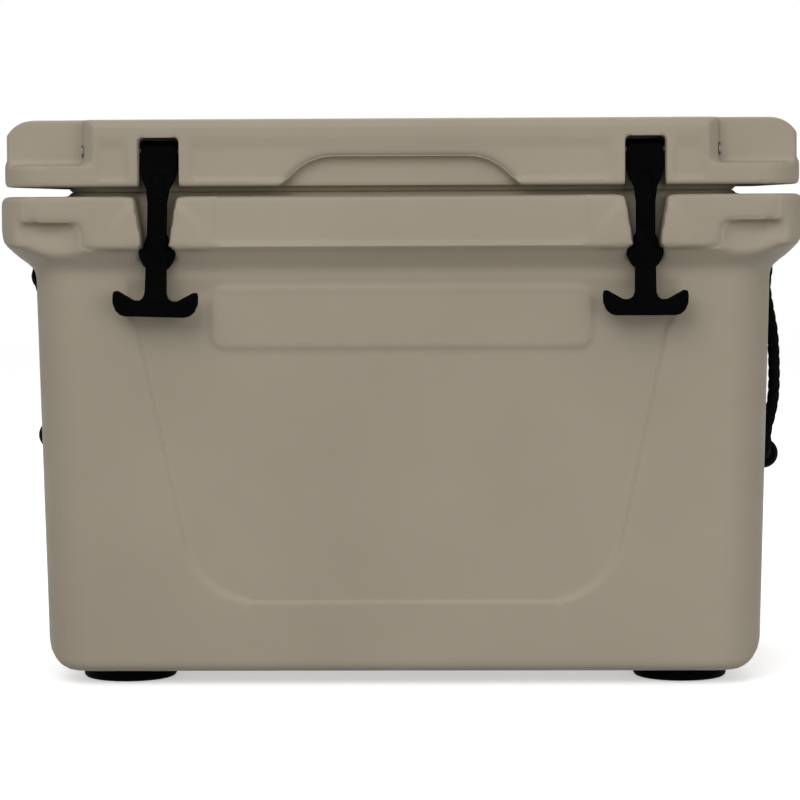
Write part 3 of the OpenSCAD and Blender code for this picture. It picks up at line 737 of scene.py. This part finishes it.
def makeLatch(shape, side):
    word = "left" if side < 0 else "right"
    half = shape["halfFront"]
    front = half + [(-x, z) for x, z in reversed(half)]
    latch = toObject(word + "Latch", pulled(front, "Y", -0.23, -0.15))
    combine(latch, [pulled(shape["side"], "X", -0.06, 0.06)], "INTERSECT")
    ball = toObject("ball", egg(**shape["ball"]))
    flat = softBlock((-0.03, -0.23, 0.34), (0.03, -0.15, shape["ball"]["place"][1]))
    combine(ball, [flat], "INTERSECT")
    ballTool = bmesh.new()
    ballTool.from_mesh(ball.data)
    bpy.data.objects.remove(ball)
    eye = rod("X", -shape["halfFront"][0][0], shape["halfFront"][0][0], shape["pin"], shape["eyeRadius"])
    combine(latch, [ballTool, egg(**shape["bulge"]), eye], "UNION")
    meltSkin(latch, shape["voxel"], 4)
    tongue = shape["tongue"]

    def tonguePlate(x, z):
        return plateDistance(x, z, tongue["low"], tongue["high"], tongue["corner"])

    press(latch, "front", lambda p: p.z > 0.38, [(tonguePlate, tongue["height"], 0.0016)])
    combine(latch, [rod("X", -0.02, 0.02, shape["pin"], 0.0031)], "DIFFERENCE", "MANIFOLD")
    thin(latch, 0.5)
    lean = Matrix.Rotation(math.radians(shape["lean"][word]), 4, "Y")
    pin = Vector((0, *shape["pin"]))
    place = pin + Vector((side * latchAt + latchShift[word], 0, 0))
    latch.data.transform(Matrix.Translation(place) @ lean @ Matrix.Translation(-pin))
    shadeByAngle(latch, 0.8)
    dress(latch, rubberFinish)
    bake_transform(latch)
    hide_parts(word + "_latch_eye", word + "_latch_grip")


# rope handles

# bow is how far the rope stands out from its holes at five heights on its way down
handleShapes = {
    "left": {"side": -1, "drop": 0.147, "hang": 0.3093, "kick": 0.0065,
             "bow": (0.0, -0.003, -0.004, -0.006, -0.006)},
    "right": {"side": 1, "drop": 0.165, "hang": 0.3135, "kick": 0.0,
              "bow": (-0.002, 0.001, 0.006, 0.007, 0.004)},
}
ropeShape = {"x": 0.314, "y": 0.070, "exit": 0.350, "top": 0.396, "radius": 0.00475, "sides": 24,
             "step": 0.0016, "plait": 0.00045, "plaitsAround": 4, "turn": 0.040, "corner": 0.016}
gripShape = {"radius": 0.0131, "endRadius": 0.0102, "half": 0.056, "bore": 0.0053, "ridges": 11,
             "ridge": 0.0009}


def ropeRoute(rope, handle):
    x, y, leaves = rope["x"], rope["y"], rope["exit"]
    grip = leaves - handle["drop"]
    heights = [leaves - 0.018, leaves - 0.036, leaves - 0.062, grip + 0.058, grip + 0.038]
    half = [(x, y, rope["top"]), (x, y, 0.375), (x, y, leaves + 0.004),
            (x + handle["kick"], y, leaves - 0.006)]
    half += [(x + out, y, z) for out, z in zip(handle["bow"], heights)]
    half += [(handle["hang"], y, grip + 0.022)]
    for turn in range(15, 90, 15):
        a, r = math.radians(turn), rope["corner"]
        half.append((handle["hang"], y - r + r * math.cos(a), grip + r - r * math.sin(a)))
    half += [(handle["hang"], 0.046, grip), (handle["hang"], 0.020, grip)]
    return half + [(x, -y, z) for x, y, z in reversed(half)]


# even steps along a smooth curve through a route
def smoothPath(route, step):
    curve = bpy.data.curves.new("path", "CURVE")
    curve.dimensions = "3D"
    spline = curve.splines.new("NURBS")
    spline.points.add(len(route) - 1)
    for point, place in zip(spline.points, route):
        point.co = (*place, 1)
    spline.order_u = 3
    spline.use_endpoint_u = True
    spline.resolution_u = 12
    guide = bpy.data.objects.new("path", curve)
    bpy.context.scene.collection.objects.link(guide)
    line = bpy.data.meshes.new_from_object(guide.evaluated_get(bpy.context.evaluated_depsgraph_get()))
    fine = [v.co.copy() for v in line.vertices]
    bpy.data.objects.remove(guide)
    path, left = [fine[0]], step
    for here, there in zip(fine, fine[1:]):
        gap = (there - here).length
        while gap > 0 and left <= gap:
            path.append(here.lerp(there, left / gap))
            left += step
        left -= gap
    return path


# pulls a ring along a path; returns each point with how far along and how far round it lies
def sweepTube(path, radius, sides):
    bm = bmesh.new()
    start = (path[1] - path[0]).normalized()
    turn = start.to_track_quat("Z", "X").to_matrix()
    ring = bmesh.ops.create_circle(bm, cap_ends=False, segments=sides, radius=radius)["verts"]
    bmesh.ops.transform(bm, matrix=Matrix.Translation(path[0]) @ turn.to_4x4(), verts=ring)
    placed = [(v, 0.0, 2 * math.pi * k / sides, path[0]) for k, v in enumerate(ring)]
    around = {v: 2 * math.pi * k / sides for k, v in enumerate(ring)}
    edges = list(bm.edges)
    firstRing, along, before = list(ring), 0.0, start
    for index in range(1, len(path)):
        ahead = (path[min(index + 1, len(path) - 1)] - path[index - 1]).normalized()
        made = bmesh.ops.extrude_edge_only(bm, edges=edges)["geom"]
        newRing = [g for g in made if isinstance(g, bmesh.types.BMVert)]
        fresh = set(newRing)
        edges = [g for g in made if isinstance(g, bmesh.types.BMEdge) and all(v in fresh for v in g.verts)]
        older = {v: e.other_vert(v) for v in newRing for e in v.link_edges if e.other_vert(v) not in fresh}
        around = {v: around[older[v]] for v in newRing}
        bmesh.ops.translate(bm, vec=path[index] - path[index - 1], verts=newRing)
        spin = before.rotation_difference(ahead).to_matrix()
        bmesh.ops.rotate(bm, cent=path[index], matrix=spin, verts=newRing)
        along += (path[index] - path[index - 1]).length
        before = ahead
        placed += [(v, along, around[v], path[index]) for v in newRing]
    bm.faces.new(firstRing)
    bm.faces.new(newRing)
    return bm, placed


def plait(placed, rope):
    count, pitch = rope["plaitsAround"], rope["turn"]
    for v, along, angle, centre in placed:
        wind = 2 * math.pi * count * along / pitch
        rise = max(math.cos(count * angle + wind), math.cos(count * angle - wind))
        v.co += (v.co - centre).normalized() * rope["plait"] * rise


def ropeTube(name, path, rope):
    bm, placed = sweepTube(path, rope["radius"], rope["sides"])
    plait(placed, rope)
    bmesh.ops.recalc_face_normals(bm, faces=bm.faces)
    piece = toObject(name, bm)
    shadeSmooth(piece)
    dress(piece, ropeFinish)
    return piece


knotShape = {"size": 0.0025, "lift": 0.0034, "z": 0.3985, "radius": 0.0040, "sides": 16, "points": 72}


# a closed overhand turn of rope, lying in its pocket
def knotPath(knot, x, y):
    path = []
    for index in range(knot["points"] + 1):
        t = 2 * math.pi * index / knot["points"]
        path.append(Vector((x + knot["size"] * (math.sin(t) + 2 * math.sin(2 * t)),
                            y + knot["size"] * (math.cos(t) - 2 * math.cos(2 * t)),
                            knot["z"] - knot["lift"] * math.sin(3 * t))))
    return path


def makeKnots(word, handle, rope):
    knots = bmesh.new()
    small = dict(rope, radius=knotShape["radius"], sides=knotShape["sides"], plait=0.0003)
    for y in (-rope["y"], rope["y"]):
        path = knotPath(knotShape, handle["side"] * rope["x"], y)
        bm, placed = sweepTube(path, small["radius"], small["sides"])
        plait(placed, small)
        turned = bpy.data.meshes.new("turn")
        bm.to_mesh(turned)
        knots.from_mesh(turned)
        bm.free()
    bmesh.ops.recalc_face_normals(knots, faces=knots.faces)
    piece = toObject(word + "Knots", knots)
    shadeSmooth(piece)
    dress(piece, ropeFinish)
    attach(piece, "cooler_body")
    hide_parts(word + "_rope_knots")


def spun(profile, axis):
    bm = bmesh.new()
    line = [bm.verts.new((radius, 0, height)) for radius, height in profile]
    edges = [bm.edges.new(pair) for pair in zip(line, line[1:])]
    bmesh.ops.spin(bm, geom=line + edges, cent=(0, 0, 0), axis=(0, 0, 1), angle=2 * math.pi, steps=64,
                   use_merge=True)
    bmesh.ops.remove_doubles(bm, verts=bm.verts, dist=1e-6)
    bmesh.ops.recalc_face_normals(bm, faces=bm.faces)
    if axis == "Y":
        quarter = Matrix.Rotation(math.radians(90), 3, "X")
        bmesh.ops.rotate(bm, cent=(0, 0, 0), matrix=quarter, verts=bm.verts)
    return bm


def makeGrip(word, handle, rope, grip):
    half, steps = grip["half"], grip["ridges"] * 10
    profile = [(grip["bore"], -half), (grip["endRadius"] - 0.001, -half), (grip["endRadius"], -half + 0.0006)]
    reach = half - 0.006
    for index in range(steps + 1):
        height = -reach + 2 * reach * index / steps
        wave = abs(math.sin(math.pi * grip["ridges"] * index / steps)) ** 0.5
        profile.append((grip["radius"] - grip["ridge"] * (1 - wave), height))
    profile += [(grip["endRadius"], half - 0.0006), (grip["endRadius"] - 0.001, half), (grip["bore"], half)]
    profile.append(profile[0])
    bm = spun(profile, "Y")
    middle = (handle["side"] * handle["hang"], 0, rope["exit"] - handle["drop"])
    bmesh.ops.translate(bm, vec=middle, verts=bm.verts)
    piece = toObject(word + "Grip", bm)
    shadeByAngle(piece, 0.7)
    dress(piece, gripFinish)
    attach(piece, word + "_handle")
    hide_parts(word + "_handle_grip")


def makeHandle(word, handle, rope):
    route = [(handle["side"] * x, y, z) for x, y, z in ropeRoute(rope, handle)]
    piece = ropeTube(word + "Rope", smoothPath(route, rope["step"]), rope)
    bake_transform(piece)
    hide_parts(word + "_handle_rope")
    makeKnots(word, handle, rope)
    makeGrip(word, handle, rope, gripShape)


# feet

footShape = {"radius": 0.0398, "top": 0.015, "edge": 0.0035, "screwX": 0.022, "screwRoom": 0.0056,
             "screwDepth": 0.0050}


def makeFoot(node, foot):
    low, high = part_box(node)
    middle = (low + high) / 2
    r, edge = foot["radius"], foot["edge"]
    profile = [(0, 0.0012), (0.012, 0.0012), (0.0125, 0), (0.0155, 0), (0.016, 0.0012), (0.0280, 0.0012),
               (0.0285, 0), (0.0315, 0), (0.032, 0.0012), (0.0338, 0.0012), (0.0343, 0)]
    profile += [(r - edge + edge * math.sin(math.radians(a)), edge - edge * math.cos(math.radians(a)))
                for a in range(0, 91, 15)]
    profile += [(r - 0.0006, 0.0062), (r - 0.0006, 0.0072), (r, 0.0082), (r, foot["top"]), (0, foot["top"])]
    bm = spun(profile, "Z")
    bmesh.ops.translate(bm, vec=(middle.x, middle.y, 0), verts=bm.verts)
    words = node.split("_")
    piece = toObject(words[0] + "".join(word.capitalize() for word in words[1:]), bm)
    rooms = [rod("Z", -0.01, foot["screwDepth"], (middle.x + side * foot["screwX"], middle.y),
                 foot["screwRoom"], 32) for side in (-1, 1)]
    combine(piece, rooms, "DIFFERENCE")
    shadeByAngle(piece, 0.6)
    dress(piece, rubberFinish)
    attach(piece, "cooler_body")
    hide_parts(node)


screwShape = {"radius": 0.0050, "low": 0.0022, "high": 0.0050, "slot": (0.0034, 0.0007), "depth": 0.0012}


def makeScrews(screw, feet):
    low, high = screw["low"], screw["high"]
    reach, thick = screw["slot"]
    heads = toObject("footScrews", bmesh.new())
    for node in feet:
        corner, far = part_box(node)
        middle = (corner + far) / 2
        for side in (-1, 1):
            head = bmesh.new()
            bmesh.ops.create_cone(head, cap_ends=True, segments=32, radius1=screw["radius"] * 0.8,
                                  radius2=screw["radius"], depth=high - low)
            cross = [softBlock((-reach, -thick, -1), (reach, thick, -(high - low) / 2 + screw["depth"])),
                     softBlock((-thick, -reach, -1), (thick, reach, -(high - low) / 2 + screw["depth"]))]
            one = toObject("head", head)
            combine(one, cross, "DIFFERENCE")
            place = (middle.x + side * footShape["screwX"], middle.y, (low + high) / 2)
            one.data.transform(Matrix.Translation(place))
            gathered = bmesh.new()
            gathered.from_mesh(heads.data)
            gathered.from_mesh(one.data)
            gathered.to_mesh(heads.data)
            gathered.free()
            bpy.data.objects.remove(one)
    shadeByAngle(heads, 0.6)
    dress(heads, steelFinish)
    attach(heads, "cooler_body")
    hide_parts("foot_screws")


# drain

drainPlug = {"face": 0.2885, "radius": 0.018, "thick": 0.0042, "bar": (0.0036, 0.0150), "barOut": 0.0098,
             "notches": 16}


def makeDrainPlug(plug, drain):
    x, z = plug["face"], drain["z"]
    cap = bmesh.new()
    bmesh.ops.create_cone(cap, cap_ends=True, segments=128, radius1=plug["radius"], radius2=plug["radius"],
                          depth=plug["thick"])
    bmesh.ops.rotate(cap, cent=(0, 0, 0), matrix=Matrix.Rotation(math.radians(90), 3, "Y"), verts=cap.verts)
    bmesh.ops.translate(cap, vec=(x + plug["thick"] / 2, 0, z), verts=cap.verts)
    bevel(cap, edgesAt(cap, 0, x + plug["thick"]), 0.0008, 2)
    piece = toObject("drainPlug", cap)
    grooves = []
    for index in range(plug["notches"]):
        a = 2 * math.pi * index / plug["notches"]
        grooves.append(rod("X", x - 0.01, x + 0.02, (plug["radius"] * 1.045 * math.cos(a),
                                                     z + plug["radius"] * 1.045 * math.sin(a)), 0.0014, 12))
    combine(piece, grooves, "DIFFERENCE")
    halfY, halfZ = plug["bar"]
    bar = softBlock((x, -halfY, z - halfZ), (x + plug["barOut"], halfY, z + halfZ))
    bevel(bar, edgesAt(bar, 0, x + plug["barOut"]), 0.0018, 4)
    stem = rod("X", 0.265, x + 0.001, (0, z), 0.0094)
    combine(piece, [bar, stem], "UNION")
    shadeByAngle(piece, 0.5)
    dress(piece, plasticFinish)
    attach(piece, "drain_plug_cap")
    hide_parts("drain_plug")


# lid seal

sealShape = {"outer": (0.270, 0.161), "inner": (0.260, 0.151), "outerCorner": 0.026, "innerCorner": 0.020,
             "low": 0.4144, "high": 0.4200, "round": 0.0022}


def makeSeal(seal):
    def block(half, corner, low, high, edge=0):
        return softBlock((-half[0], -half[1], low), (half[0], half[1], high),
                         corner=corner, lowEdge=edge, steps=8)

    outer = block(seal["outer"], seal["outerCorner"], seal["low"], seal["high"], seal["round"])
    piece = toObject("lidSeal", outer)
    combine(piece, [block(seal["inner"], seal["innerCorner"], 0.40, 0.43)], "DIFFERENCE")
    shadeByAngle(piece, 0.6)
    dress(piece, sealFinish)
    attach(piece, "lid")
    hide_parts("lid_gasket")


# materials

looks = {
    "rotomoulded_tan": {"light": (0.374, 0.323, 0.249), "dark": (0.344, 0.296, 0.226), "mottle": 5.0,
                        "rough": (0.50, 0.62), "grains": ((900.0, 0.00006), (230.0, 0.00010)),
                        "specular": 0.30},
    "black_rubber": {"light": (0.0011, 0.0011, 0.0012), "dark": (0.0007, 0.0007, 0.0008), "mottle": 40.0,
                     "rough": (0.46, 0.60), "grains": ((1500.0, 0.00004),), "specular": 0.016},
    "grip_rubber": {"light": (0.0026, 0.0026, 0.0027), "dark": (0.0015, 0.0015, 0.0016), "mottle": 60.0,
                    "rough": (0.62, 0.78), "grains": ((2600.0, 0.00010),), "specular": 0.030},
    "black_plastic": {"light": (0.0045, 0.0045, 0.0048), "dark": (0.0030, 0.0030, 0.0032), "mottle": 30.0,
                      "rough": (0.34, 0.46), "grains": ((1800.0, 0.00003),), "specular": 0.16},
    "black_rope": {"light": (0.0050, 0.0050, 0.0053), "dark": (0.0014, 0.0014, 0.0015), "mottle": 520.0,
                   "rough": (0.70, 0.88), "grains": ((3200.0, 0.00016), (800.0, 0.00010)),
                   "specular": 0.035},
    "seal_rubber": {"light": (0.030, 0.031, 0.033), "dark": (0.020, 0.021, 0.022), "mottle": 50.0,
                    "rough": (0.55, 0.70), "grains": ((1600.0, 0.00005),), "specular": 0.2},
    "steel": {"light": (0.20, 0.20, 0.20), "dark": (0.14, 0.14, 0.14), "mottle": 90.0,
              "stretch": (0.04, 1, 1), "rough": (0.38, 0.55), "grains": ((1400.0, 0.00003),),
              "specular": 0.5, "metallic": 1.0},
    "insulating_foam": {"light": (0.72, 0.60, 0.34), "dark": (0.60, 0.48, 0.25), "mottle": 60.0,
                        "rough": (0.80, 0.95), "grains": ((700.0, 0.0003),), "specular": 0.2},
}


# colour, roughness and fine grain all drift over the surface in the piece's own coordinates
def makeFinish(name, look):
    finish = bpy.data.materials.new(name)
    finish.use_nodes = True
    tree = finish.node_tree
    shader = tree.nodes["Principled BSDF"]
    shader.inputs["Specular IOR Level"].default_value = look["specular"]
    shader.inputs["Metallic"].default_value = look.get("metallic", 0.0)
    place = tree.nodes.new("ShaderNodeTexCoord")
    spread = tree.nodes.new("ShaderNodeMapping")
    spread.inputs["Scale"].default_value = look.get("stretch", (1, 1, 1))
    tree.links.new(place.outputs["Object"], spread.inputs["Vector"])

    def noise(scale, detail):
        node = tree.nodes.new("ShaderNodeTexNoise")
        node.inputs["Scale"].default_value = scale
        node.inputs["Detail"].default_value = detail
        tree.links.new(spread.outputs["Vector"], node.inputs["Vector"])
        return node.outputs["Fac"]

    drift = noise(look["mottle"], 4.0)
    ramp = tree.nodes.new("ShaderNodeValToRGB")
    ramp.color_ramp.elements[0].position = 0.35
    ramp.color_ramp.elements[1].position = 0.65
    ramp.color_ramp.elements[0].color = (*look["dark"], 1)
    ramp.color_ramp.elements[1].color = (*look["light"], 1)
    tree.links.new(drift, ramp.inputs["Fac"])
    tree.links.new(ramp.outputs["Color"], shader.inputs["Base Color"])
    sheen = tree.nodes.new("ShaderNodeMapRange")
    sheen.inputs["From Min"].default_value = 0.3
    sheen.inputs["From Max"].default_value = 0.7
    sheen.inputs["To Min"].default_value, sheen.inputs["To Max"].default_value = look["rough"]
    tree.links.new(noise(look["mottle"] * 7, 3.0), sheen.inputs["Value"])
    tree.links.new(sheen.outputs["Result"], shader.inputs["Roughness"])
    relief = None
    for scale, height in look["grains"]:
        bump = tree.nodes.new("ShaderNodeBump")
        bump.inputs["Strength"].default_value = 0.6
        bump.inputs["Distance"].default_value = height
        tree.links.new(noise(scale, 2.0), bump.inputs["Height"])
        if relief:
            tree.links.new(relief, bump.inputs["Normal"])
        relief = bump.outputs["Normal"]
    tree.links.new(relief, shader.inputs["Normal"])
    return finish


finishes = {name: makeFinish(name, look) for name, look in looks.items()}
tanFinish = finishes["rotomoulded_tan"]
rubberFinish = finishes["black_rubber"]
gripFinish = finishes["grip_rubber"]
plasticFinish = finishes["black_plastic"]
ropeFinish = finishes["black_rope"]
sealFinish = finishes["seal_rubber"]
steelFinish = finishes["steel"]

carriedOver = {
    "insulating_foam": ("body_foam", "lid_foam"),
    "black_plastic": ("body_fill_plugs", "lid_fill_plugs", "drain_bushing", "drain_locknut"),
    "black_rubber": ("drain_plug_oring",),
    "seal_rubber": ("drain_flange_seal",),
    "steel": ("left_latch_pin", "right_latch_pin", "left_hinge_pin", "right_hinge_pin", "hinge_pin_clips"),
}


def dressCadNodes(groups):
    for finish, names in groups.items():
        for name in names:
            slots = nodes[name].data.materials
            slots.clear()
            slots.append(finishes[finish])


# making

makeCamera(cameraSetup)
makeLights(lightSetup)
makeFloor()

body = makeBody(bodyShape)
dress(body, tanFinish)
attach(body, "cooler_body")
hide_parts("body_shell")

lid = makeLid(lidShape)
dress(lid, tanFinish)
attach(lid, "lid")
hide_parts("lid_shell")

for side in (-1, 1):
    makeLatch(latchShape, side)
print("latches made")

for word, handle in handleShapes.items():
    makeHandle(word, handle, ropeShape)
print("rope handles made")

feet = [name for name in nodes if name.startswith("foot_") and name != "foot_screws"]
for node in feet:
    makeFoot(node, footShape)
makeScrews(screwShape, feet)
makeDrainPlug(drainPlug, drainShape)
makeSeal(sealShape)
dressCadNodes(carriedOver)
print("feet, drain and seal made")
